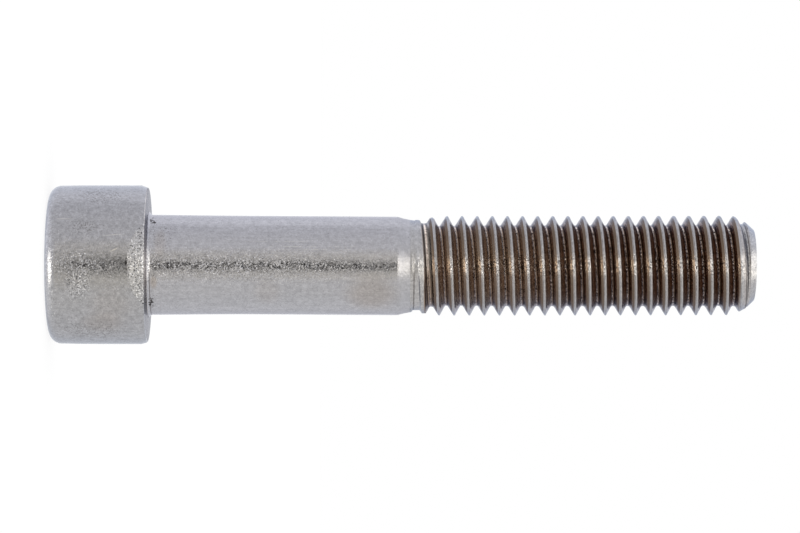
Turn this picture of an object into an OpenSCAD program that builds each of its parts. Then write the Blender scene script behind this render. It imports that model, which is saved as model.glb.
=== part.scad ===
// Hexalobular socket cap screw, M10 x 1.5, 60 mm under the head, size 50 drive.
// It stands on its head: the head's top face lies at z = 0, the socket opens
// downwards and the shank points up, along +Z. All lengths are millimetres.

/* [Head] */
// Diameter of the head
head_d = 15.76; // [14:0.02:18]
// Height of the head, from its top face to its bearing face
head_h = 9.8; // [9:0.05:12]
// Rounding of the head's top edge
crown_r = 1.25; // [0.4:0.05:1.4]
// Length of the drawn-in edge at the foot of the head's side
skirt_h = 0.75; // [0.5:0.05:2]
// How far that edge draws in, at each side
skirt_in = 0.25; // [0.1:0.01:0.4]
// Radius of the fillet between the bearing face and the shank
fillet_r = 0.5; // [0.3:0.05:0.9]

/* [Socket] */
// Width of the socket over two opposite lobes
lobe_d = 8.95; // [8.4:0.01:9.4]
// Width of the socket between two opposite ribs
rib_d = 6.45; // [6.2:0.01:6.7]
// Radius of the rounding at the end of each lobe
lobe_r = 0.8; // [0.6:0.01:1]
// Depth of the socket's full form
socket_h = 4.02; // [3.6:0.01:4.6]
// Further depth of the shallow cone at the socket's bottom
cone_h = 1.2; // [0.6:0.05:1.6]
// Diameter of the countersink at the socket's mouth
mouth_d = 9.3; // [9:0.05:10]

/* [Shank] */
// Length of the screw under its head
screw_l = 60; // [50:0.1:90]
// Diameter of the plain shank
shank_d = 9.78; // [9.6:0.01:10]
// Length of the taper between the plain shank and the thread
neck_h = 1.7; // [0.8:0.05:3]

/* [Thread] */
// Length of the thread, with its run-out and the point
thread_l = 33.7; // [15:0.1:45]
// Outer diameter of the thread
thread_d = 9.88; // [9.74:0.01:9.96]
// Pitch of the thread
pitch = 1.5; // [1:0.25:1.75]
// Depth of the groove
groove_h = 0.92; // [0.55:0.01:1]
// Width of the crest
crest_w = 0.2; // [0.1:0.01:0.3]
// Diameter of the blank that the thread is rolled on
blank_d = 9.08; // [8.8:0.01:9.2]
// Length over which the thread comes up to its full depth
runout_h = 2.4; // [1:0.1:4]
// Turn of the whole thread about the axis, in degrees
thread_turn = 120; // [0:1:359]

/* [Point] */
// Diameter of the flat end
point_d = 7.3; // [6.6:0.02:7.6]
// Height of the chamfer round the flat end
chamfer_h = 0.7; // [0.4:0.05:1]
// Diameter where that chamfer meets the lead
lead_d = 8.72; // [8.3:0.02:9.2]
// Height of the lead, where the crests draw in before the chamfer
lead_h = 1.4; // [0.8:0.05:2]

/* [Hidden] */
$fn = 96;

lobes = 6;
// Slope of the countersink, from the head's top face
mouth_slope = tan(30);
lobe_step = 360 / lobes;
thread_sides = 36;
flank_tan = tan(30);
// The thread's core stays this far inside the blank that it grows from
seat = 0.02;
// Depth to which that core reaches into the neck
plug_h = 0.8;
// Overrun of a cutting tool past the face that it cuts
over = 1;
// The socket's rib arcs run this far into its lobe arcs
lap = 0.002;

head_r = head_d / 2;
shank_r = shank_d / 2;
blank_r = blank_d / 2;
crest_r = thread_d / 2;
root_r = crest_r - groove_h;
core_r = blank_r - seat;
tip_z = head_h + screw_l;
thread_z = tip_z - thread_l;
neck_z = thread_z - neck_h;

// The skirt is an arc that leaves the head's side without a corner
skirt_r = (skirt_h * skirt_h + skirt_in * skirt_in) / (2 * skirt_in);

// Lobe and rib arcs of the socket touch without a corner: these are the
// distances of their centres from the axis, and the radius of the rib arc
lobe_at = lobe_d / 2 - lobe_r;
rib_inner = rib_d / 2 - lobe_r;
rib_at = (lobe_at * lobe_at - rib_inner * rib_inner) / (2 * (lobe_at * cos(lobe_step / 2) - rib_inner));
rib_r = rib_at - rib_d / 2;

// One pitch of the thread's profile, as height along the axis and radius:
// crest, falling flank, root, and the rising flank back to the next crest
flank_w = groove_h * flank_tan;
profile = [
    [-crest_w / 2, crest_r],
    [crest_w / 2, crest_r],
    [crest_w / 2 + flank_w, root_r],
    [pitch - crest_w / 2 - flank_w, root_r]
];
profile_n = len(profile);
first_z = thread_z - 2 * pitch;
thread_steps = ceil((thread_l + 4 * pitch) / pitch) * thread_sides;
// Rows that would end closer than this to the flat end are merged into it
row_gap = pitch / thread_sides / 2;

// Largest radius that the lead and the chamfer leave at height z
function point_limit(z) =
    z < tip_z - chamfer_h
    ? lead_d / 2 + (crest_r - lead_d / 2) * (tip_z - chamfer_h - z) / lead_h
    : point_d / 2 + (lead_d - point_d) / 2 * (tip_z - z) / chamfer_h;

// Share of the thread's full depth that the run-out has reached at height z
function runout_share(z) = min(1, (z - thread_z) / runout_h);

function row_z(i, j) = first_z + pitch * i / thread_sides + profile[j][0];
function row_r(z, j) = min(point_limit(z), core_r + runout_share(z) * (profile[j][1] - core_r));
function round_point(i, r, z) = [r * cos(360 * i / thread_sides), r * sin(360 * i / thread_sides), z];

// Rows of the helix below the run-out end in the lower ring of points,
// and rows above the flat end in the upper ring
function row_index(i, j) =
    j == profile_n ? row_index(i + thread_sides, 0)
    : row_z(i, j) < thread_z ? i % thread_sides
    : row_z(i, j) > tip_z - row_gap ? thread_sides + i % thread_sides
    : 2 * thread_sides + i * profile_n + j;

function is_triangle(f) = f[0] != f[1] && f[1] != f[2] && f[2] != f[0];

// Half section of the head, with its crown rounding and its skirt
module head_section() {
    square([head_r - crown_r, head_h - skirt_h]);
    translate([0, crown_r]) square([head_r, head_h - skirt_h - crown_r]);
    translate([head_r - crown_r, crown_r]) circle(crown_r);
    intersection() {
        translate([head_r - skirt_r, head_h - skirt_h]) circle(skirt_r);
        translate([0, head_h - skirt_h - over]) square([head_r, skirt_h + over]);
    }
    translate([0, head_h - skirt_h - over]) square([head_r - skirt_r, skirt_h + over]);
}

// Half section of the shank, with the fillet at its foot and the neck
module shank_section() {
    translate([0, head_h - over]) square([shank_r, neck_z - head_h + over]);
    difference() {
        translate([0, head_h - over]) square([shank_r + fillet_r, over + fillet_r]);
        translate([shank_r + fillet_r, head_h + fillet_r]) circle(fillet_r);
    }
    polygon([[0, neck_z], [shank_r, neck_z], [blank_r, thread_z], [0, thread_z]]);
}

// Outline of the socket: rounded lobes with hollow ribs between them
module socket_outline() {
    difference() {
        polygon([for (k = [0:2 * lobes - 1])
            let (d = k % 2 == 0 ? lobe_at : rib_at, a = k * lobe_step / 2)
            [d * cos(a), d * sin(a)]]);
        for (k = [0:lobes - 1])
            rotate((k + 0.5) * lobe_step) translate([rib_at, 0]) circle(rib_r + lap);
    }
    for (k = [0:lobes - 1])
        rotate(k * lobe_step) translate([lobe_at, 0]) rotate(180) circle(lobe_r);
}

// What the punch leaves: the lobed form, its cone at the bottom and the mouth
module socket() {
    intersection() {
        translate([0, 0, -over]) linear_extrude(socket_h + cone_h + over) socket_outline();
        rotate_extrude()
            polygon([[0, -over], [lobe_d, -over], [lobe_d, socket_h], [lobe_d / 2, socket_h],
                [0, socket_h + cone_h]]);
    }
    rotate_extrude()
        polygon([[0, -over], [mouth_d / 2 + over / mouth_slope, -over], [0, mouth_d / 2 * mouth_slope]]);
}

// The threaded end as one helical sweep of the profile
module thread() {
    rings = [
        for (i = [0:thread_sides - 1]) round_point(i, core_r, thread_z - plug_h),
        for (i = [0:thread_sides - 1]) round_point(i, point_d / 2, tip_z)
    ];
    rows = [
        for (i = [0:thread_steps], j = [0:profile_n - 1])
            round_point(i, row_r(row_z(i, j), j), row_z(i, j))
    ];
    sides = [
        for (i = [0:thread_steps - thread_sides - 1], j = [0:profile_n - 1])
            let (a = row_index(i, j), b = row_index(i + 1, j),
                c = row_index(i + 1, j + 1), d = row_index(i, j + 1))
            each [[a, d, c], [a, c, b]]
    ];
    ends = [
        [for (i = [0:thread_sides - 1]) i],
        [for (i = [thread_sides - 1:-1:0]) thread_sides + i]
    ];
    polyhedron(points = concat(rings, rows), faces = concat([for (f = sides) if (is_triangle(f)) f], ends));
}

module cap_screw() {
    color([0.66, 0.66, 0.67]) {
        difference() {
            rotate_extrude() {
                head_section();
                shank_section();
            }
            socket();
        }
        rotate(thread_turn) thread();
    }
}

cap_screw();
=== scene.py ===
import math

import bmesh
import bpy
from mathutils import Matrix, Vector


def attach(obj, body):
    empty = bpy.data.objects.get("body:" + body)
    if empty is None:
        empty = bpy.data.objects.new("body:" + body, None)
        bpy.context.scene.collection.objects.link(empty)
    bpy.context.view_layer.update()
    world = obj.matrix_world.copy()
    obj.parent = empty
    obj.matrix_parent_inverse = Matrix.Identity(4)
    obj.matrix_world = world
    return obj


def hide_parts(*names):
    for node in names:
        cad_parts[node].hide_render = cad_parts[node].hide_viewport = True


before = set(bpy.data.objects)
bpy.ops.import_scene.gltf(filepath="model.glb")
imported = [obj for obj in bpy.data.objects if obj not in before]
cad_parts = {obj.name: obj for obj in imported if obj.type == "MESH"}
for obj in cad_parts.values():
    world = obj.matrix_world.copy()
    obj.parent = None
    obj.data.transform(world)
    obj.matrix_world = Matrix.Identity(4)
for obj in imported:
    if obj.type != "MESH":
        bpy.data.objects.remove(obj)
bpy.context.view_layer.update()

milli = 0.001  # the meshes are shaped in millimetres and scaled at the end


def between(value, low, high):
    return min(1.0, max(0.0, (value - low) / (high - low)))


def roundedProfile(bm, corners):
    # each corner holds its radius, height, rounding and the rounding's segments
    verts = [bm.verts.new((corner[0], 0, corner[1])) for corner in corners]
    for pair in zip(verts, verts[1:]):
        bm.edges.new(pair)
    for vert, corner in zip(verts, corners):
        if corner[2] > 0:
            bmesh.ops.bevel(
                bm,
                geom=[vert],
                offset=corner[2],
                offset_type="OFFSET",
                segments=corner[3],
                profile=0.5,
                affect="VERTICES",
                material=-1,
            )


# value at z of a line drawn through rows of (height, value)
def follow(rows, z):
    for (low, first), (high, last) in zip(rows, rows[1:]):
        if z < high:
            return first + (last - first) * between(z, low, high)
    return rows[-1][1]


def moveRadius(vert, radius):
    length = math.hypot(vert.co.x, vert.co.y)
    vert.co.x *= radius / length
    vert.co.y *= radius / length


# head and shank: radius, height, rounding and its segments, from the top face of the head on
body = {
    "steps": 192,  # corners round the axis
    "sideRadius": 7.5,  # the head's side lies outside this radius
    "sideFrom": 6.2,  # and above this height it follows the flat in front
    "skirtFrom": 9.08,  # where the drawn-in edge of the head begins
    "skirtTo": 9.72,
    "flatFrom": 8.15,  # the same edge where the flat in front pulls it down
    "flatAt": -0.5,  # middle of that flat and half its width, in degrees
    "flatWidth": 25.5,
    "fuller": 0.06,  # how much less the edge draws in on the screw's right
    "fullerX": (3, 7),  # this comes in between these X
    "fullerZ": 9.5,  # and is whole from this height
    "bearingTilt": (-0.005, 0.004),
    "tiltIn": (9.0, 9.6),  # heights over which the tilt comes in
    "tiltOut": (9.9, 10.4),
    "shankFrom": 9.85,  # faces above this height have the shank's steel
    "weld": 0.0005,
    # sideways drift of the axis: the real screw is not quite straight
    "bow": [
        (10, 0),
        (18, 0),
        (27, 0.03),
        (34, 0.06),
        (35.7, 0.08),
        (38, 0.04),
        (46, 0.03),
        (56, 0),
        (70, -0.06),
    ],
    "corners": [
        (6.2, 0.0, 0, 0),
        (7.80, 0.0, 1.19, 12),
        (7.86, 3.0, 0, 0),
        (7.87, 5.0, 0, 0),
        (7.87, 6.2, 0, 0),
        (7.87, 7.0, 0, 0),
        (7.87, 7.8, 0, 0),
        (7.87, 8.6, 0, 0),
        (7.87, 9.0, 0, 0),
        (7.87, 9.08, 0.03, 2),
        (7.7871, 9.29, 0, 0),
        (7.7041, 9.50, 0, 0),
        (7.62, 9.72, 0.08, 5),
        (7.0, 9.765, 0, 0),
        (5.6, 9.8, 0, 0),
        (4.955, 9.8, 0.46, 8),
        (4.955, 11.0, 0, 0),
        (4.93, 13.5, 0, 0),
        (4.905, 16.0, 0, 0),
        (4.885, 19.0, 0, 0),
        (4.885, 27.0, 0, 0),
        (4.885, 34.42, 0.14, 4),
        (4.80, 34.7, 0, 0),
        (4.734, 34.93, 0, 0),
        (4.667, 35.23, 0, 0),
        (4.611, 35.53, 0, 0),
        (4.5975, 35.62, 0, 0),
        (3.8, 35.62, 0, 0),
    ],
}
socket = {
    "lobes": 6,
    "lobeAt": 3.675,  # centre of a lobe's rounding, from the axis
    "lobeRadius": 0.8,
    "ribAt": 5.0321,  # centre of a rib's hollow
    "ribRadius": 1.8071,
    "lobeAngle": 11.24,  # half the angle that a lobe's rounding takes up
    "mouthRadius": 4.65,
    "mouthSlope": math.tan(math.radians(30)),
    "depth": 4.02,
    "coneDepth": 1.2,
    "outerRadius": 4.475,
}


def socketRadius(angle):
    step = 2 * math.pi / socket["lobes"]
    near = (angle + step / 2) % step - step / 2
    if abs(near) < math.radians(socket["lobeAngle"]):
        at, rad = socket["lobeAt"], socket["lobeRadius"]
        return at * math.cos(near) + math.sqrt(rad**2 - (at * math.sin(near)) ** 2)
    off = step / 2 - abs(near)
    at, rad = socket["ribAt"], socket["ribRadius"]
    return at * math.cos(off) - math.sqrt(rad**2 - (at * math.sin(off)) ** 2)


def mouthHeight(radius):
    return (socket["mouthRadius"] - radius) * socket["mouthSlope"]


def coneHeight(radius):
    return socket["depth"] + socket["coneDepth"] * (1 - radius / socket["outerRadius"])


# radius and height of the socket's rings, from the head's face to its bottom
socketRings = [
    lambda r: (4.78, 0.0),
    lambda r: (4.7, 0.006),
    lambda r: (4.6, mouthHeight(4.6) + 0.004),
    lambda r: (r + 0.09, mouthHeight(r + 0.09)),
    lambda r: (r + 0.03, mouthHeight(r)),
    lambda r: (r, mouthHeight(r) + 0.06),
    lambda r: (r, 2.0),
    lambda r: (r, coneHeight(r) - 0.15),
    lambda r: (r - 0.05, coneHeight(r) - 0.03),
    lambda r: (r * 0.95, coneHeight(r * 0.95)),
    lambda r: (r * 0.6, coneHeight(r * 0.6)),
    lambda r: (r * 0.3, coneHeight(r * 0.3)),
    lambda r: (r * 0.08, coneHeight(r * 0.08)),
]


# the flat in front, at the foot of the head's side, and the bearing face's slight tilt
def shapeHead(vert):
    radius, z = math.hypot(vert.co.x, vert.co.y), vert.co.z
    side, start, end = body["sideFrom"], body["skirtFrom"], body["skirtTo"]
    if radius > body["sideRadius"] and side < z < end:
        turn = math.degrees(math.atan2(vert.co.x, -vert.co.y))
        turn = (turn - body["flatAt"]) / body["flatWidth"]
        pulled = start - (start - body["flatFrom"]) * max(0, 1 - abs(turn) ** 3)
        if z < start:
            vert.co.z = side + (z - side) * (pulled - side) / (start - side)
        else:
            vert.co.z = pulled + (z - start) * (end - pulled) / (end - start)
            share = between(vert.co.x, *body["fullerX"]) * between(z, start, body["fullerZ"])
            moveRadius(vert, radius + body["fuller"] * share)
    share = between(z, *body["tiltIn"]) * (1 - between(z, *body["tiltOut"]))
    tiltX, tiltY = body["bearingTilt"]
    vert.co.z += (tiltX * vert.co.x + tiltY * vert.co.y) * share


def turnedBody():
    bm = bmesh.new()
    roundedProfile(bm, body["corners"])
    bmesh.ops.spin(
        bm,
        geom=bm.edges[:],
        cent=(0, 0, 0),
        axis=(0, 0, 1),
        dvec=(0, 0, 0),
        angle=2 * math.pi,
        steps=body["steps"],
        use_merge=True,
    )
    bmesh.ops.remove_doubles(bm, verts=bm.verts, dist=body["weld"])
    for vert in bm.verts:
        shapeHead(vert)
    # the socket grows from the open ring on the head's top face
    ring = [e for e in bm.edges if e.is_boundary and e.verts[0].co.z < 1]
    for place in socketRings:
        made = bmesh.ops.extrude_edge_only(bm, edges=ring)["geom"]
        ring = [g for g in made if isinstance(g, bmesh.types.BMEdge) and g.is_boundary]
        for vert in {v for e in ring for v in e.verts}:
            radius, height = place(socketRadius(math.atan2(vert.co.y, vert.co.x)))
            moveRadius(vert, radius)
            vert.co.z = height
    bottom = list({v for e in ring for v in e.verts})
    bmesh.ops.pointmerge(bm, verts=bottom, merge_co=(0, 0, socket["depth"] + socket["coneDepth"]))
    bmesh.ops.holes_fill(bm, edges=[e for e in bm.edges if e.is_boundary], sides=0)
    bmesh.ops.recalc_face_normals(bm, faces=bm.faces)
    return bm


thread = {
    "steps": 96,  # corners in one turn
    "pitch": 1.5,
    "crestRadius": 4.94,
    "rootRadius": 3.9,  # deepest root; grooves shows how deep each turn really is
    "crestLeft": 0.07,  # half widths of the crest
    "crestRight": 0.05,
    "flankLeft": 0.65,
    "flankRight": 0.56,
    "crestLeftRound": 0.065,
    "crestRightRound": 0.045,
    "rootRound": 0.05,
    "flankOver": 0.5,  # lines of the profile longer than this are flanks
    "flankCuts": 4,
    "firstCrest": 34.07,
    "turns": 25,
    "weld": 0.002,
    "begin": 35.6,
    "seat": 0.25,  # depth and radius of the hidden end that stands in the neck
    "seatRadius": 4.55,
    "seatBelow": 0.03,
    "neck": [(35.6, 4.598), (36.2, 4.50)],
    "neckEnd": (36.12, 36.2),
    # radius of the crests and of the grooves where they come up at the neck
    "crests": [(36.3, 4.575), (36.6, 4.58), (37.05, 4.71), (37.8, 4.78), (38.55, 4.93), (38.9, 4.94)],
    "grooves": [
        (35.95, 4.57),
        (36.32, 4.37),
        (37.07, 4.23),
        (37.45, 4.09),
        (37.82, 4.06),
        (38.57, 3.96),
        (40.0, 3.97),
        (46.0, 4.01),
        (67.5, 4.01),
        (68.9, 4.14),
    ],
    "leaning": [(36.3, 0.0), (36.5, 0.19), (36.75, 0.19), (37.0, 0.0)],  # slope of the first ridge
    "tip": 69.72,
    "tipRadius": 3.56,
    "chamferHeight": 0.75,
    "chamferRadius": 4.26,
    "leadHeight": 1.3,
}


def pointLimit(z):
    t = thread
    tip, middle, crest = t["tipRadius"], t["chamferRadius"], t["crestRadius"]
    edge = t["tip"] - t["chamferHeight"]
    if z < edge:
        return middle + (crest - middle) * (edge - z) / t["leadHeight"]
    return tip + (middle - tip) * (t["tip"] - z) / t["chamferHeight"]


# a groove keeps its slopes and loses its depth as it runs out, and the crests sink to the neck
def shapeThread(vert):
    t = thread
    radius, z = math.hypot(vert.co.x, vert.co.y), vert.co.z
    if z < t["begin"] - t["seatBelow"]:
        moveRadius(vert, t["seatRadius"])
        return
    turn = math.atan2(vert.co.y, vert.co.x) / (2 * math.pi)
    climbed = (z - t["firstCrest"]) / t["pitch"] - turn
    crestAt = t["firstCrest"] + t["pitch"] * (round(climbed) + turn)
    grooveAt = t["firstCrest"] + t["pitch"] * (math.floor(climbed) + 0.5 + turn)
    crest = follow(t["crests"], crestAt) - follow(t["leaning"], crestAt) * (z - crestAt)
    neck = follow(t["neck"], z)
    crest = neck + (crest - neck) * between(z, *t["neckEnd"])
    groove = follow(t["grooves"], grooveAt)
    moveRadius(vert, min(max(radius, groove), crest, pointLimit(z)))


def threadShell():
    t = thread
    bm = bmesh.new()
    z = t["firstCrest"]
    crestEnd, crestStart = z + t["crestRight"], z + t["pitch"] - t["crestLeft"]
    corners = [
        (t["crestRadius"], z, 0, 0),
        (t["crestRadius"], crestEnd, t["crestRightRound"], 3),
        (t["rootRadius"], crestEnd + t["flankRight"], t["rootRound"], 4),
        (t["rootRadius"], crestStart - t["flankLeft"], t["rootRound"], 4),
        (t["crestRadius"], crestStart, t["crestLeftRound"], 4),
        (t["crestRadius"], z + t["pitch"], 0, 0),
    ]
    roundedProfile(bm, corners)
    flanks = [e for e in bm.edges if e.calc_length() > t["flankOver"]]
    bmesh.ops.subdivide_edges(bm, edges=flanks, cuts=t["flankCuts"])
    bmesh.ops.spin(
        bm,
        geom=bm.edges[:],
        cent=(0, 0, 0),
        axis=(0, 0, 1),
        dvec=(0, 0, t["pitch"] / t["steps"]),
        angle=2 * math.pi,
        steps=t["steps"],
        use_merge=False,
    )
    oneTurn = bm.verts[:] + bm.edges[:] + bm.faces[:]
    for turn in range(1, t["turns"]):
        copied = bmesh.ops.duplicate(bm, geom=oneTurn)["geom"]
        verts = [g for g in copied if isinstance(g, bmesh.types.BMVert)]
        bmesh.ops.translate(bm, verts=verts, vec=(0, 0, turn * t["pitch"]))
    bmesh.ops.remove_doubles(bm, verts=bm.verts, dist=t["weld"])
    for vert in bm.verts:
        shapeThread(vert)
    for height, keepAbove in ((t["begin"] - t["seat"], True), (t["tip"], False)):
        bmesh.ops.bisect_plane(
            bm,
            geom=bm.verts[:] + bm.edges[:] + bm.faces[:],
            dist=0.0001,
            plane_co=(0, 0, height),
            plane_no=(0, 0, 1),
            clear_outer=not keepAbove,
            clear_inner=keepAbove,
        )
    bmesh.ops.holes_fill(bm, edges=[e for e in bm.edges if e.is_boundary], sides=0)
    bmesh.ops.recalc_face_normals(bm, faces=bm.faces)
    return bm


sharpAngle = math.radians(32)  # edges that turn more than this are shaded sharp


def finishPiece(name, parts):
    mesh = bpy.data.meshes.new(name)
    bm = bmesh.new()
    for part in parts:
        part.to_mesh(mesh)
        bm.from_mesh(mesh)
        part.free()
    for vert in bm.verts:
        vert.co.x += follow(body["bow"], vert.co.z)
    bmesh.ops.scale(bm, vec=(milli,) * 3, verts=bm.verts)
    for face in bm.faces:
        face.smooth = True
    for edge in bm.edges:
        if len(edge.link_faces) == 2 and edge.calc_face_angle(0) > sharpAngle:
            edge.smooth = False
    bm.to_mesh(mesh)
    bm.free()
    piece = bpy.data.objects.new(name, mesh)
    bpy.context.collection.objects.link(piece)
    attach(piece, "root")
    return piece


headAndShank, rolledThread = turnedBody(), threadShell()
for face in headAndShank.faces:
    face.material_index = 1 if face.calc_center_median().z > body["shankFrom"] else 0
for face in rolledThread.faces:
    face.material_index = 2
screwPiece = finishPiece("cap_screw_steel", [headAndShank, rolledThread])
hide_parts("cap_screw")
print("screw", len(screwPiece.data.polygons), "faces")


def addNode(tree, kind, settings=None, inputs=None):
    node = tree.nodes.new(kind)
    for name, value in (settings or {}).items():
        setattr(node, name, value)
    for name, value in (inputs or {}).items():
        if isinstance(value, bpy.types.NodeSocket):
            tree.links.new(value, node.inputs[name])
        else:
            node.inputs[name].default_value = value
    return node


def addMath(tree, operation, a, b=0.0):
    return addNode(tree, "ShaderNodeMath", {"operation": operation}, {0: a, 1: b}).outputs[0]


def add(tree, a, b):
    return addMath(tree, "ADD", a, b)


def subtract(tree, a, b):
    return addMath(tree, "SUBTRACT", a, b)


def multiply(tree, a, b):
    return addMath(tree, "MULTIPLY", a, b)


def larger(tree, a, b):
    return addMath(tree, "MAXIMUM", a, b)


# how far one value lies from another
def distance(tree, a, b):
    return addMath(tree, "ABSOLUTE", subtract(tree, a, b))


def addVector(tree, operation, a, b=(0, 0, 0)):
    return addNode(tree, "ShaderNodeVectorMath", {"operation": operation}, {0: a, 1: b}).outputs


def splitAxes(tree, vector):
    return addNode(tree, "ShaderNodeSeparateXYZ", None, {0: vector}).outputs


def remap(tree, value, low, high, start=0.0, end=1.0, smooth=True):
    settings = {"interpolation_type": "SMOOTHSTEP" if smooth else "LINEAR"}
    inputs = {"Value": value, "From Min": low, "From Max": high, "To Min": start, "To Max": end}
    return addNode(tree, "ShaderNodeMapRange", settings, inputs).outputs["Result"]


# mask that comes in over one range of a value and goes out over another
def band(tree, value, comeIn, goOut):
    return multiply(tree, remap(tree, value, *comeIn), remap(tree, value, *goOut))


def mixColor(tree, amount, a, b, blend="MIX"):
    settings = {"data_type": "RGBA", "blend_type": blend}
    return addNode(tree, "ShaderNodeMix", settings, {0: amount, 6: a, 7: b}).outputs[2]


def noise(tree, vector, scale, detail=2.0, roughness=0.5):
    inputs = {"Vector": vector, "Scale": scale, "Detail": detail, "Roughness": roughness}
    return addNode(tree, "ShaderNodeTexNoise", None, inputs).outputs[0]


def millimetres(tree):
    place = addNode(tree, "ShaderNodeTexCoord").outputs["Object"]
    inputs = {"Vector": place, "Scale": (1 / milli,) * 3}
    return addNode(tree, "ShaderNodeMapping", None, inputs).outputs[0]


def newGroup(name, inputs, outputs):
    group = bpy.data.node_groups.new(name, "ShaderNodeTree")
    for label, kind in inputs:
        group.interface.new_socket(name=label, in_out="INPUT", socket_type="NodeSocket" + kind)
    for label, kind in outputs:
        group.interface.new_socket(name=label, in_out="OUTPUT", socket_type="NodeSocket" + kind)
    entry = group.nodes.new("NodeGroupInput").outputs
    return group, entry, group.nodes.new("NodeGroupOutput").inputs


def useGroup(tree, group, inputs):
    return addNode(tree, "ShaderNodeGroup", {"node_tree": group}, inputs).outputs


# what the three finishes share; a noise has its scale, detail and roughness
skin = {
    "sides": (-3, 4),  # the cool side turns into the warm one between these X
    "mottle": (2.2, 6, 0.9),
    "drawn": (1.0, 4, 0.7),
    "drawnStretch": (5, 5, 0.3),
    "fine": (4.5, 3, 0.6),
    "broad": (0.8, 2, 0.5),
    "broadMask": (0.4, 0.6, 0.5, 1.0),  # makes the fine grain weaker in places
    "cells": 9.5,
    "cellPower": 3.0,  # few cells are deep
    "cellDepth": 0.09,
    "cellShine": 0.8,
    "shiny": (0.7, 1.0),
}


# makes a colour darker and lighter by a pattern that lies round a half
def mottled(tree, color, pattern, amount):
    shade = add(tree, multiply(tree, subtract(tree, pattern, 0.5), amount), 1.0)
    return mixColor(tree, 1.0, color, shade, "MULTIPLY")


# pickled steel: fine grain and dimples that come and go, cooler on one side than on the other
def makeSkin():
    floats = [(label, "Float") for label in ("Mottle", "Grain", "Dimples", "Streak")]
    group, entry, exits = newGroup(
        "steelSkin",
        [("Point", "Vector"), ("Cool", "Color"), ("Warm", "Color"), *floats],
        [("Color", "Color"), ("Height", "Float")],
    )
    point = entry["Point"]
    side = remap(group, splitAxes(group, point)["X"], *skin["sides"])
    color = mixColor(group, side, entry["Cool"], entry["Warm"])
    color = mottled(group, color, noise(group, point, *skin["mottle"]), entry["Mottle"])
    # drawn lines along the screw
    along = addVector(group, "MULTIPLY", point, skin["drawnStretch"])[0]
    color = mottled(group, color, noise(group, along, *skin["drawn"]), entry["Streak"])
    inputs = {"Vector": point, "Scale": skin["cells"]}
    cells = addNode(group, "ShaderNodeTexVoronoi", None, inputs).outputs
    picks = addNode(group, "ShaderNodeSeparateColor", None, {0: cells["Color"]}).outputs
    deep = multiply(group, addMath(group, "POWER", picks[0], skin["cellPower"]), cells["Distance"])
    dimples = multiply(group, multiply(group, deep, skin["cellDepth"]), entry["Dimples"])
    # some dimples are painted lighter as a painted glint, and some darker and dull
    shiny, dull = (remap(group, picks[index], *skin["shiny"]) for index in (1, 2))
    bright = multiply(group, subtract(group, shiny, dull), entry["Dimples"])
    bright = multiply(group, bright, skin["cellShine"])
    color = mixColor(group, 1.0, color, add(group, bright, 1.0), "MULTIPLY")
    fine = subtract(group, noise(group, point, *skin["fine"]), 0.5)
    broad = remap(group, noise(group, point, *skin["broad"]), *skin["broadMask"])
    fine = multiply(group, multiply(group, fine, broad), entry["Grain"])
    group.links.new(color, exits["Color"])
    group.links.new(add(group, fine, dimples), exits["Height"])
    return group


speck = {
    "levels": (0.75, 0.45),  # the noise shows above this, for the amounts 0 and 1
    "softness": 0.07,
}


# scattered specks, as many as the amount says: used for pits and grime
def makeSpecks():
    group, entry, exits = newGroup(
        "specks",
        [("Point", "Vector"), ("Scale", "Float"), ("Amount", "Float")],
        [("Mask", "Float")],
    )
    spots = noise(group, entry["Point"], entry["Scale"], 2, 0.5)
    level = remap(group, entry["Amount"], 0, 1, *speck["levels"], smooth=False)
    above = subtract(group, spots, level)
    group.links.new(remap(group, above, 0.0, speck["softness"]), exits["Mask"])
    return group


# soft patch of a given size round a centre, turned about the Y axis
def makePatch():
    vectors = [(label, "Vector") for label in ("Point", "Centre", "Size")]
    group, entry, exits = newGroup(
        "softPatch",
        [*vectors, ("Turn", "Float"), ("Inner", "Float")],
        [("Mask", "Float")],
    )
    away = addVector(group, "SUBTRACT", entry["Point"], entry["Centre"])[0]
    settings = {"rotation_type": "Y_AXIS"}
    inputs = {"Vector": away, "Angle": entry["Turn"]}
    turned = addNode(group, "ShaderNodeVectorRotate", settings, inputs).outputs[0]
    scaled = addVector(group, "DIVIDE", turned, entry["Size"])[0]
    length = addVector(group, "LENGTH", scaled)["Value"]
    group.links.new(remap(group, length, entry["Inner"], 1.0, 1, 0), exits["Mask"])
    return group


# painted shade: mask of a dark line round the screw at one height, on its right side only
def makeLine():
    floats = [(label, "Float") for label in ("Height", "Outside", "Inside", "From", "To")]
    group, entry, exits = newGroup("turnedLine", [("Point", "Vector"), *floats], [("Mask", "Float")])
    axes = splitAxes(group, entry["Point"])
    line = remap(group, distance(group, axes["Z"], entry["Height"]), entry["Outside"], entry["Inside"])
    side = remap(group, axes["X"], entry["From"], entry["To"])
    group.links.new(multiply(group, line, side), exits["Mask"])
    return group


steelSkin, specks, softPatch, turnedLine = makeSkin(), makeSpecks(), makePatch(), makeLine()


# centre and size are in millimetres, the turn is in degrees
def patch(tree, point, centre, size, turn=0, inner=0.3):
    inputs = {"Point": point, "Centre": centre, "Size": size, "Turn": math.radians(turn), "Inner": inner}
    return useGroup(tree, softPatch, inputs)["Mask"]


def useSkin(tree, look, point, dimples):
    inputs = {label: look[label.lower()] for label in ("Cool", "Warm", "Mottle", "Grain", "Streak")}
    made = useGroup(tree, steelSkin, {"Point": point, "Dimples": dimples, **inputs})
    return made["Color"], made["Height"]


def useSpecks(tree, point, scale, amount, where):
    mask = useGroup(tree, specks, {"Point": point, "Scale": scale, "Amount": amount})["Mask"]
    return multiply(tree, mask, where)


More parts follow.
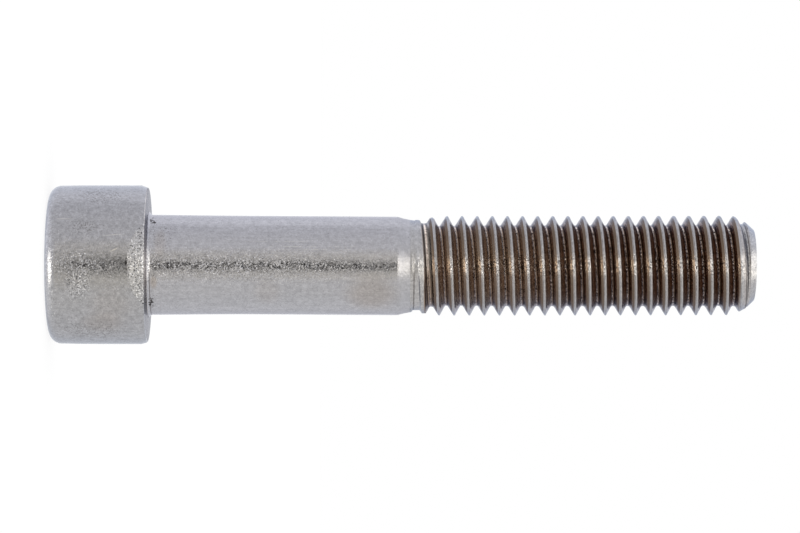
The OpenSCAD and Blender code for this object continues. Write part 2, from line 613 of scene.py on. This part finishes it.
def newSteel(name, look):
    mat = bpy.data.materials.new(name)
    mat.use_nodes = True
    tree = mat.node_tree
    shader = tree.nodes["Principled BSDF"].inputs
    shader["Metallic"].default_value = 1
    shader["Specular Tint"].default_value = look["edge"]
    return mat, tree, shader, millimetres(tree)


def closeSteel(tree, shader, color, roughness, height):
    tree.links.new(color, shader["Base Color"])
    tree.links.new(roughness, shader["Roughness"])
    bump = addNode(tree, "ShaderNodeBump", None, {"Strength": 1, "Distance": milli, "Height": height})
    tree.links.new(bump.outputs[0], shader["Normal"])


def addStains(tree, point, color, look):
    for centre, size, strength in look["stains"]:
        amount = multiply(tree, patch(tree, point, centre, size), strength)
        color = mixColor(tree, amount, color, look["stain"], "MULTIPLY")
    return color


# dark pits all over, and more of them in the pitted places
def addPits(tree, point, color, look):
    amount = 0.0
    for centre, size in look["pitted"]:
        amount = larger(tree, amount, patch(tree, point, centre, size))
    amount = add(tree, multiply(tree, amount, look["pitsMore"]), look["pitsLeast"])
    pits = useSpecks(tree, point, look["pitScale"], amount, look["pitStrength"])
    return mixColor(tree, pits, color, look["pit"])


# draws a painted shade line round the screw
def addLine(tree, point, color, line):
    outside, inside = line["half"]
    start, end = line["across"]
    inputs = {"Height": line["height"], "Outside": outside, "Inside": inside, "From": start, "To": end}
    mask = useGroup(tree, turnedLine, {"Point": point, **inputs})["Mask"]
    return mixColor(tree, mask, color, line["color"], "MULTIPLY")


headLook = {
    "cool": (0.336, 0.337, 0.363, 1),
    "warm": (0.362, 0.360, 0.365, 1),
    "edge": (0.72, 0.75, 0.81, 1),
    "roughness": 0.11,
    "mottle": 1.7,
    "streak": 0.25,
    "grain": 0.024,  # heights in millimetres
    "dimples": (0.12, 0.95),  # outside and inside the rough places
    "rough": ((1.7, -7.6, 3.3), (2.4, 3, 1.5)),
    "centre": ((-0.1, -7.9, 3.2), (1.9, 3, 5.2)),
    "centreDimples": 0.65,
    # the matt flat in front: its colour, shape and ragged edge
    "flat": (1.07, 1.07, 1.06, 1),
    "flatMiddle": -0.07,
    "flatHalf": 3.4,
    "flatRise": 0.93,
    "flatDrop": 0.16,
    "flatNoise": (2.5, 3, 0.6),
    "flatRagged": 0.35,
    "flatEdge": (-0.04, 0.08),
    "flatFront": (-6.0, -6.6),
    "flatTop": (9.72, 9.66),
    "flatSatin": 0.2,
    # the bearing face and its rim, painted lighter and warmer as a painted highlight, and the tint of
    # its shine, painted darker in front and darkest at its sides as painted shade
    "bearing": (1.9, 1.82, 1.68, 1),
    "bearingFrom": (9.66, 9.7),
    "bearingEdge": (0.30, 0.315, 0.365, 1),
    "bearingFront": (0.62, 0.61, 0.62, 1),
    "bearingAside": (1.0, 4.5),
    "bearingSatin": 0.12,
    "stain": (0.94, 0.86, 0.78, 1),
    "stains": [((3.9, -6.8, 6.4), (2.6, 3, 2.6), 0.3), ((5.6, -5.4, 5.6), (1.4, 3, 2.8), 0.4)],
    "pit": (0.06, 0.05, 0.045, 1),
    "pitScale": 7.5,
    "pitStrength": 0.6,
    "pitsLeast": 0.28,
    "pitsMore": 0.4,
    "pitted": [
        ((-6.8, -4.0, 5.3), (1.5, 3, 3.6)),
        ((6.4, -4.4, 4.5), (1.7, 3, 4.6)),
        ((-3.7, -7.0, 4.0), (1.0, 3, 2.6)),
    ],
    # painted reflection: a black spot where the dark reflected line down the middle of the head ends
    "blot": (0.02, 0.018, 0.016, 1),
    "paintedReflectionPlace": ((-0.2, -7.9, 8.0), (0.36, 2, 0.17)),
    "paintedReflectionStrength": 0.85,
    "scratch": (0.62, 0.6, 0.57, 1),
    "scratchStrength": 0.6,
    "scratches": [
        ((-1.45, -7.7, 6.85), (0.09, 2, 0.66), 26),
        ((-2.9, -7.2, 6.7), (0.04, 2, 1.3), 5),
        ((-4.45, -6.5, 1.9), (0.04, 2, 1.1), 0),
    ],
}


# the flat in front is matt and full of dimples, with a ragged edge
def flatMask(tree, point, axes, look):
    across = addMath(tree, "DIVIDE", subtract(tree, axes["X"], look["flatMiddle"]), look["flatHalf"])
    rise = addMath(tree, "POWER", addMath(tree, "ABSOLUTE", across), 3.0)
    ragged = multiply(tree, noise(tree, point, *look["flatNoise"]), look["flatRagged"])
    edge = add(tree, multiply(tree, rise, look["flatRise"]), ragged)
    above = subtract(tree, axes["Z"], add(tree, edge, body["flatFrom"] - look["flatDrop"]))
    front = remap(tree, axes["Y"], *look["flatFront"])
    flat = multiply(tree, remap(tree, above, *look["flatEdge"]), front)
    return multiply(tree, flat, remap(tree, axes["Z"], *look["flatTop"]))


def headSteel():
    look = headLook
    mat, tree, shader, point = newSteel("headSteel", look)
    axes = splitAxes(tree, point)
    flat = flatMask(tree, point, axes, look)
    rough = patch(tree, point, *look["rough"], inner=0.4)
    centre = multiply(tree, patch(tree, point, *look["centre"], inner=0.2), look["centreDimples"])
    rough = larger(tree, larger(tree, rough, flat), centre)
    dimples = remap(tree, rough, 0, 1, *look["dimples"], smooth=False)
    color, height = useSkin(tree, look, point, dimples)
    color = addStains(tree, point, color, look)
    color = mixColor(tree, flat, color, look["flat"], "MULTIPLY")
    bearing = remap(tree, axes["Z"], *look["bearingFrom"])
    # painted highlight: the rim and the bearing face are painted lighter and warmer
    color = mixColor(tree, bearing, color, look["bearing"], "MULTIPLY")
    # painted shade: the tint of the bearing face's shine is darker in front and darkest at its sides
    aside = remap(tree, addMath(tree, "ABSOLUTE", axes["X"]), *look["bearingAside"])
    bearingTint = mixColor(tree, aside, look["bearingFront"], look["bearingEdge"])
    edgeTint = mixColor(tree, bearing, look["edge"], bearingTint)
    tree.links.new(edgeTint, shader["Specular Tint"])
    color = addPits(tree, point, color, look)
    # painted reflection: a black spot at the end of the dark line down the middle of the head
    blot = multiply(tree, patch(tree, point, *look["paintedReflectionPlace"]), look["paintedReflectionStrength"])
    color = mixColor(tree, blot, color, look["blot"])
    for place in look["scratches"]:
        scratch = multiply(tree, patch(tree, point, *place), look["scratchStrength"])
        color = mixColor(tree, scratch, color, look["scratch"])
    satin = multiply(tree, bearing, look["bearingSatin"])
    satin = larger(tree, multiply(tree, flat, look["flatSatin"]), satin)
    closeSteel(tree, shader, color, add(tree, satin, look["roughness"]), height)
    return mat


shankLook = {
    "cool": (0.374, 0.375, 0.408, 1),
    "warm": (0.400, 0.398, 0.410, 1),
    "edge": (0.73, 0.74, 0.79, 1),
    "roughness": 0.12,
    "neckRoughness": 0.3,
    "neckFrom": (34.2, 34.6),
    "mottle": 1.25,
    "grain": 0.024,
    "dimples": (0.08, 0.6),  # at the sides and in the middle
    "centre": ((0.1, -4.9, 14), (2.2, 3, 25)),
    "streak": 0.35,
    "stain": (0.89, 0.82, 0.74, 1),
    "stains": [
        ((2.8, -4.0, 31.8), (2.7, 3, 3.4), 0.7),
        ((2.6, -4.2, 21.6), (1.8, 3, 1.8), 0.3),
        ((-2.1, -4.4, 11.1), (1.9, 3, 0.8), 0.4),
        ((1.7, -4.6, 10.5), (0.9, 3, 0.5), 0.9),
    ],
    "pit": (0.06, 0.055, 0.055, 1),
    "pitScale": 7.5,
    "pitStrength": 0.65,
    "pitsLeast": 0.22,
    "pitsMore": 0.34,
    "pitted": [((-3.3, -3.6, 11.0), (2.4, 3, 2.6))],
    "grime": (0.02, 0.016, 0.014, 1),
    "grimeScale": 5.0,
    "grimeStrength": 0.9,
    "grimy": [
        ((-4.3, -2.3, 10.3), (1.3, 2, 0.6)),
        ((3.6, -3.2, 10.2), (1.3, 2, 0.7)),
    ],
    "scratch": (0.6, 0.59, 0.57, 1),
    "scratchStrength": 0.45,
    "scratches": [
        ((-1.80, -4.5, 26.0), (0.05, 2, 9)),
        ((-1.52, -4.6, 27.5), (0.04, 2, 7)),
        ((-2.3, -4.3, 23.0), (0.04, 2, 5)),
    ],
    # painted shade: a dark line in the corner under the head
    "cornerShade": {
        "height": 10.1,
        "half": (0.08, 0.02),
        "across": (0.3, 1.0),
        "color": (0.45, 0.43, 0.42, 1),
    },
}


def shankSteel():
    look = shankLook
    mat, tree, shader, point = newSteel("shankSteel", look)
    centre = patch(tree, point, *look["centre"], inner=0.1)
    dimples = remap(tree, centre, 0, 1, *look["dimples"], smooth=False)
    color, height = useSkin(tree, look, point, dimples)
    color = addStains(tree, point, color, look)
    color = addPits(tree, point, color, look)
    broken = remap(tree, noise(tree, point, 2), 0.4, 0.6)
    for centre, size in look["scratches"]:
        scratch = multiply(tree, patch(tree, point, centre, size), broken)
        scratch = multiply(tree, scratch, look["scratchStrength"])
        color = mixColor(tree, scratch, color, look["scratch"])
    # dark specks in the corner under the head: grime and painted shade
    for centre, size in look["grimy"]:
        amount = patch(tree, point, centre, size, inner=0.1)
        grime = useSpecks(tree, point, look["grimeScale"], amount, look["grimeStrength"])
        color = mixColor(tree, grime, color, look["grime"])
    # painted shade: a dark line in the corner under the head
    color = addLine(tree, point, color, look["cornerShade"])
    z = splitAxes(tree, point)["Z"]
    roughness = remap(tree, z, *look["neckFrom"], look["roughness"], look["neckRoughness"])
    closeSteel(tree, shader, color, roughness, height)
    return mat


threadLook = {
    "cool": (0.340, 0.336, 0.352, 1),
    "warm": (0.358, 0.346, 0.343, 1),
    "edge": (0.58, 0.63, 0.74, 1),
    "roughness": 0.17,
    "neckRoughness": 0.3,
    "roughFrom": (38.5, 36.8),
    "mottle": 0.8,
    "streak": 0.0,
    "grain": 0.012,
    "dimples": (0.15, 1.0),
    "centre": ((0.0, -4.9, 52), (1.6, 3, 40)),
    # masks across a ridge: the distance from its crest, which is negative on the side of the head
    "crestBand": ((-0.20, -0.15), (0.09, 0.04)),
    "shoulderBand": ((-0.46, -0.38), (0.0, -0.05)),
    "depthLeft": (-0.2, -0.55),
    "depthRight": (0.04, 0.2),
    "shadeLeft": (-0.5, -0.62),
    "shadeRight": (0.12, 0.42),
    "grimeAway": (0.42, 0.55),
    "floorAway": (0.54, 0.60),
    "specksAway": (0.55, 0.62),
    "rootAway": 0.845,
    "rootHalf": (0.085, 0.045),
    # painted shade on the shoulder beside each crest, on the side of the head
    "shoulderShade": (0.125, 0.092, 0.068, 1),
    "flank": (0.430, 0.380, 0.355, 1),
    "deep": (0.295, 0.222, 0.168, 1),
    "deeper": (0.255, 0.165, 0.115, 1),  # nearer the point
    "deeperFrom": (44, 54),
    "sheenSide": (2.2, 3.8, 0.0, 0.5),  # grooves painted lighter on the screw's right side, a painted sheen
    "floor": (0.17, 0.117, 0.084, 1),  # the root on both sides of the bright line in it, painted dark as painted shade
    "shade": (0.52, 0.44, 0.38, 1),  # grooves near the point are darker
    "shadeFrom": (44, 56),
    "root": (0.95, 0.83, 0.75, 1),  # the bare line along the root with a painted highlight, where it is brightest and where it is dull
    "rootDull": (0.50, 0.42, 0.37, 1),
    "rootNoise": 4.5,
    "rootMask": (0.38, 0.62),
    "started": (2.95, 3.1),  # turns over which the first groove ends
    "runout": (0.37, 0.335, 0.31, 1),
    "runoutAcross": (-0.5, 1.5),
    # painted shade: dark lines in the first groove and in the lead; distance from the crest and range of
    # turns
    "shadeLines": [(0.47, 1.4, 2.9), (-0.64, 1.6, 3.0), (0.37, 22.7, 23.8), (-0.65, 22.7, 23.8)],
    "shadeLineHalf": (0.1, 0.03),
    "shadeLineFade": 0.1,
    "shadeLineStrength": 0.65,
    "grime": (0.03, 0.021, 0.016, 1),
    "grimeGrows": (38, 52, 0.5, 0.85),  # more of it towards the point
    "grimeScale": 2.6,
    "grimeStrength": 0.8,
    "speckScale": 6.5,
    # the first ridges and the chamfered end have the shank's colour
    "neck": {
        "cool": (0.374, 0.374, 0.395, 1),
        "warm": (0.408, 0.396, 0.385, 1),
        "mottle": 1.25,
        "dimples": 0.3,
    },
    "neckUpTo": (37.05, 36.9),
    "neckSlant": 0.08,
    "endFrom": (67.95, 68.25, 0.0, 0.85),
    "faceFrom": (69.0, 69.15),
    # painted shade: a dark line round the neck
    "ring": {
        "height": 35.99,
        "half": (0.09, 0.03),
        "across": (0.2, 1.2),
        "color": (0.45, 0.43, 0.42, 1),
    },
    # wear has rounded the crests on the side of the head: distance from the crest and depth
    "wornIn": (-0.41, -0.14, 0, -0.26),
    "wornOut": (0.72, 0.25),
    "wornUp": ((37.0, 37.4), (68.95, 68.75)),
    "wornTurns": (23.6, 23.5),
}


# turns climbed by the thread, and the distance from the nearest crest in millimetres
def crestDistance(tree, axes):
    turn = addMath(tree, "DIVIDE", addMath(tree, "ARCTAN2", axes["Y"], axes["X"]), 2 * math.pi)
    climbed = addMath(tree, "DIVIDE", subtract(tree, axes["Z"], thread["firstCrest"]), thread["pitch"])
    turns = subtract(tree, climbed, turn)
    part = subtract(tree, turns, addMath(tree, "ROUND", turns))
    return turns, multiply(tree, part, thread["pitch"])


def wornCrests(tree, axes, turns, away, look):
    worn = remap(tree, away, *look["wornIn"], smooth=False)
    worn = multiply(tree, worn, remap(tree, away, *look["wornOut"], smooth=False))
    worn = multiply(tree, worn, band(tree, axes["Z"], *look["wornUp"]))
    return multiply(tree, worn, remap(tree, turns, *look["wornTurns"]))


def threadSteel():
    look = threadLook
    mat, tree, shader, point = newSteel("threadSteel", look)
    axes = splitAxes(tree, point)
    x, z = axes["X"], axes["Z"]
    turns, away = crestDistance(tree, axes)
    far = addMath(tree, "ABSOLUTE", away)
    fromRoot = addMath(tree, "PINGPONG", add(tree, away, look["rootAway"]), thread["pitch"] / 2)
    centre = patch(tree, point, *look["centre"], inner=0.1)
    crest, height = useSkin(tree, look, point, remap(tree, centre, 0, 1, *look["dimples"]))
    # the grooves turn darker and browner towards the root, and more so nearer the point: grime and
    # painted shade
    deep = mixColor(tree, remap(tree, z, *look["deeperFrom"]), look["deep"], look["deeper"])
    # painted sheen: the grooves are lighter on the screw's right side
    deep = mixColor(tree, remap(tree, x, *look["sheenSide"]), deep, look["flank"])
    depth = larger(tree, remap(tree, away, *look["depthLeft"]), remap(tree, away, *look["depthRight"]))
    color = mixColor(tree, depth, look["flank"], deep)
    started = remap(tree, turns, *look["started"])
    runout = mixColor(tree, remap(tree, x, *look["runoutAcross"]), look["runout"], look["deep"])
    color = mixColor(tree, started, runout, color)
    # painted shade: the shoulder beside each crest, on the side of the head, is painted dark
    color = mixColor(tree, band(tree, away, *look["shoulderBand"]), color, look["shoulderShade"])
    color = mixColor(tree, band(tree, away, *look["crestBand"]), color, crest)
    # grime and painted shade: dark specks beside the roots
    amount = remap(tree, z, *look["grimeGrows"], smooth=False)
    grime = useSpecks(tree, point, look["grimeScale"], amount, remap(tree, far, *look["grimeAway"]))
    color = mixColor(tree, multiply(tree, grime, look["grimeStrength"]), color, look["grime"])
    # painted shade: the root is painted dark on both sides of its bright line
    floor = multiply(tree, remap(tree, far, *look["floorAway"]), started)
    color = mixColor(tree, floor, color, look["floor"])
    shade = larger(tree, remap(tree, away, *look["shadeRight"]), remap(tree, away, *look["shadeLeft"]))
    shade = multiply(tree, shade, remap(tree, z, *look["shadeFrom"]))
    color = mixColor(tree, shade, color, look["shade"], "MULTIPLY")
    # bare metal along the root with a painted highlight, far lighter than the steel round it
    bright = remap(tree, noise(tree, point, look["rootNoise"]), *look["rootMask"])
    bare = mixColor(tree, bright, look["rootDull"], look["root"])
    color = mixColor(tree, remap(tree, fromRoot, *look["rootHalf"]), color, bare)
    specked = useSpecks(tree, point, look["speckScale"], amount, remap(tree, far, *look["specksAway"]))
    color = mixColor(tree, specked, color, look["grime"])
    neck = {**shankLook, **look["neck"]}
    # the plain colour carries a painted shade: a dark line round the neck
    plain = addLine(tree, point, useSkin(tree, neck, point, neck["dimples"])[0], look["ring"])
    slant = multiply(tree, addMath(tree, "MINIMUM", x, 0), look["neckSlant"])
    color = mixColor(tree, remap(tree, subtract(tree, z, slant), *look["neckUpTo"]), color, plain)
    color = mixColor(tree, remap(tree, z, *look["endFrom"]), color, plain)
    # painted shade: dark lines in the first groove and in the lead, in the grime colour
    fade = look["shadeLineFade"]
    for place, first, last in look["shadeLines"]:
        seam = remap(tree, distance(tree, away, place), *look["shadeLineHalf"])
        seam = multiply(tree, seam, band(tree, turns, (first, first + fade), (last + fade, last)))
        color = mixColor(tree, multiply(tree, seam, look["shadeLineStrength"]), color, look["grime"])
    color = mixColor(tree, remap(tree, z, *look["faceFrom"]), color, plain)
    roughness = remap(tree, z, *look["roughFrom"], look["roughness"], look["neckRoughness"])
    height = add(tree, height, wornCrests(tree, axes, turns, away, look))
    closeSteel(tree, shader, color, roughness, height)
    return mat


for steel in (headSteel(), shankSteel(), threadSteel()):
    screwPiece.data.materials.append(steel)
print("steel", [steel.name for steel in screwPiece.data.materials])


# rays that show the studio itself: the rest are lit by the plain dome
def shownRays(tree, path):
    seen = larger(tree, path["Is Camera Ray"], path["Is Glossy Ray"])
    return larger(tree, seen, path["Is Transmission Ray"])


# directions are unit vectors: -Y is towards the camera, Z is up
studio = {
    "dome": 0.95,
    # dark round the camera: middle, stretch, and the ranges that fade its core and its wide rim
    "darkCentre": (0.02, -1, -0.03),
    "darkStretch": (1, 1, 1.5),
    "darkest": 0.0,
    "core": (0.14, 0.25),
    "near": 0.90,
    "wide": (0.25, 0.7),
    "nearCamera": (1.05, 1.0, 0.90, 1),
    "nearFrom": (-0.75, -0.95),
    "front": (1.01, 1.0, 0.99, 1),
    "back": (1.0, 1.0, 1.02, 1),
    "backFrom": (-0.7, 0.2),
    "behind": (1.32, 1.08),  # brightness behind the screw, on its left and on its right
    "behindAcross": (-0.4, 0.4),
    "behindFrom": (0.18, 0.42),
    "below": (-0.65, -0.85, 0.0, 0.3),  # brighter all round underneath
    # soft lamp strips above and below the camera, and the ranges of X, Z and Y that fade them
    "stripColor": (1.0, 0.95, 0.83),
    "strips": [
        {
            "strength": 1.7,
            "middle": 0.0,
            "half": (0.18, 0.42),
            "up": (0.2, 0.34),
            "back": (0.4, 0.1),
        },
        {
            "strength": 4.2,
            "middle": 0.05,
            "half": (0.12, 0.28),
            "up": (-0.70, -0.86),
            "back": (0.0, -0.25),
        },
    ],
}


def lampStrip(tree, axes, strip):
    level = remap(tree, distance(tree, axes["X"], strip["middle"]), *strip["half"], strip["strength"], 0)
    level = multiply(tree, level, remap(tree, axes["Z"], *strip["up"]))
    return multiply(tree, level, remap(tree, axes["Y"], *strip["back"]))


def scaleColor(tree, color, level):
    settings = {"operation": "SCALE"}
    return addNode(tree, "ShaderNodeVectorMath", settings, {0: color, "Scale": level}).outputs[0]


def studioWorld():
    world = bpy.data.worlds.new("studio")
    bpy.context.scene.world = world
    world.use_nodes = True
    tree = world.node_tree
    tree.nodes.clear()
    direction = addNode(tree, "ShaderNodeTexCoord").outputs["Generated"]
    axes = splitAxes(tree, direction)
    tall = addVector(tree, "MULTIPLY", direction, studio["darkStretch"])[0]
    chord = addVector(tree, "DISTANCE", tall, studio["darkCentre"])["Value"]
    wide = remap(tree, chord, *studio["wide"], studio["near"], 1.0)
    core = remap(tree, chord, *studio["core"], studio["darkest"], 1.0)
    side = subtract(tree, remap(tree, axes["X"], *studio["behindAcross"], *studio["behind"]), 1.0)
    behind = multiply(tree, remap(tree, axes["Y"], *studio["behindFrom"]), side)
    behind = add(tree, add(tree, 1.0, behind), remap(tree, axes["Z"], *studio["below"]))
    level = multiply(tree, multiply(tree, wide, core), behind)
    base = mixColor(tree, remap(tree, axes["Y"], *studio["backFrom"]), studio["front"], studio["back"])
    base = mixColor(tree, remap(tree, axes["Y"], *studio["nearFrom"]), base, studio["nearCamera"])
    strip = larger(tree, *[lampStrip(tree, axes, strip) for strip in studio["strips"]])
    lamps = scaleColor(tree, studio["stripColor"], strip)
    total = addVector(tree, "ADD", scaleColor(tree, base, level), lamps)[0]
    path = addNode(tree, "ShaderNodeLightPath").outputs
    seen = mixColor(tree, path["Is Camera Ray"], total, (1, 1, 1, 1))
    inputs = {"Color": (1, 1, 1, 1), "Strength": studio["dome"]}
    dome = addNode(tree, "ShaderNodeBackground", None, inputs)
    shown = addNode(tree, "ShaderNodeBackground", None, {"Color": seen})
    inputs = {0: shownRays(tree, path), 1: dome.outputs[0], 2: shown.outputs[0]}
    mix = addNode(tree, "ShaderNodeMixShader", None, inputs)
    addNode(tree, "ShaderNodeOutputWorld", None, {0: mix.outputs[0]})


studioWorld()
print("studio lit")

ground = {
    "size": 3,
    "height": -0.00002,
    "color": (0.85, 0.85, 0.85, 1),
    "glow": 1.1,  # its strength, and its share in what the camera sees
    "glowShare": 0.75,
}


def makeFloor():
    bm = bmesh.new()
    bmesh.ops.create_grid(bm, x_segments=1, y_segments=1, size=ground["size"])
    mesh = bpy.data.meshes.new("floor")
    bm.to_mesh(mesh)
    bm.free()
    floor = bpy.data.objects.new("floor", mesh)
    bpy.context.collection.objects.link(floor)
    floor.location.z = ground["height"]
    mat = bpy.data.materials.new("floorWhite")
    mat.use_nodes = True
    tree = mat.node_tree
    tree.nodes.clear()
    matt = addNode(tree, "ShaderNodeBsdfDiffuse", None, {"Color": ground["color"]})
    glow = addNode(tree, "ShaderNodeEmission", None, {"Color": (1, 1, 1, 1), "Strength": ground["glow"]})
    path = addNode(tree, "ShaderNodeLightPath").outputs
    amount = multiply(tree, shownRays(tree, path), ground["glowShare"])
    mix = addNode(tree, "ShaderNodeMixShader", None, {0: amount, 1: matt.outputs[0], 2: glow.outputs[0]})
    addNode(tree, "ShaderNodeOutputMaterial", None, {0: mix.outputs[0]})
    mesh.materials.append(mat)
    floor.visible_glossy = False
    floor.visible_shadow = False


makeFloor()
print("floor laid")

# place in metres, lens in millimetres, upward tip and roll in degrees
view = {"place": (0.00012, -0.3476, 0.02977), "lens": 157.73, "tip": 0.808, "roll": 0.12}


def makeCamera():
    lens = bpy.data.cameras.new("camera")
    lens.sensor_width = 36
    lens.lens = view["lens"]
    lens.clip_start = 0.01
    camera = bpy.data.objects.new("camera", lens)
    bpy.context.collection.objects.link(camera)
    tip, roll = math.radians(view["tip"]), math.radians(view["roll"])
    look = Vector((0, math.cos(tip), math.sin(tip)))
    along = Vector((0, -math.sin(tip), math.cos(tip)))
    across = along.cross(look)
    right = along * math.cos(roll) + across * math.sin(roll)
    up = across * math.cos(roll) - along * math.sin(roll)
    turn = Matrix((right, up, -look)).transposed().to_4x4()
    camera.matrix_world = Matrix.Translation(view["place"]) @ turn
    bpy.context.scene.camera = camera


makeCamera()
print("camera at", view["place"])
bpy.context.scene.view_settings.view_transform = "Standard"
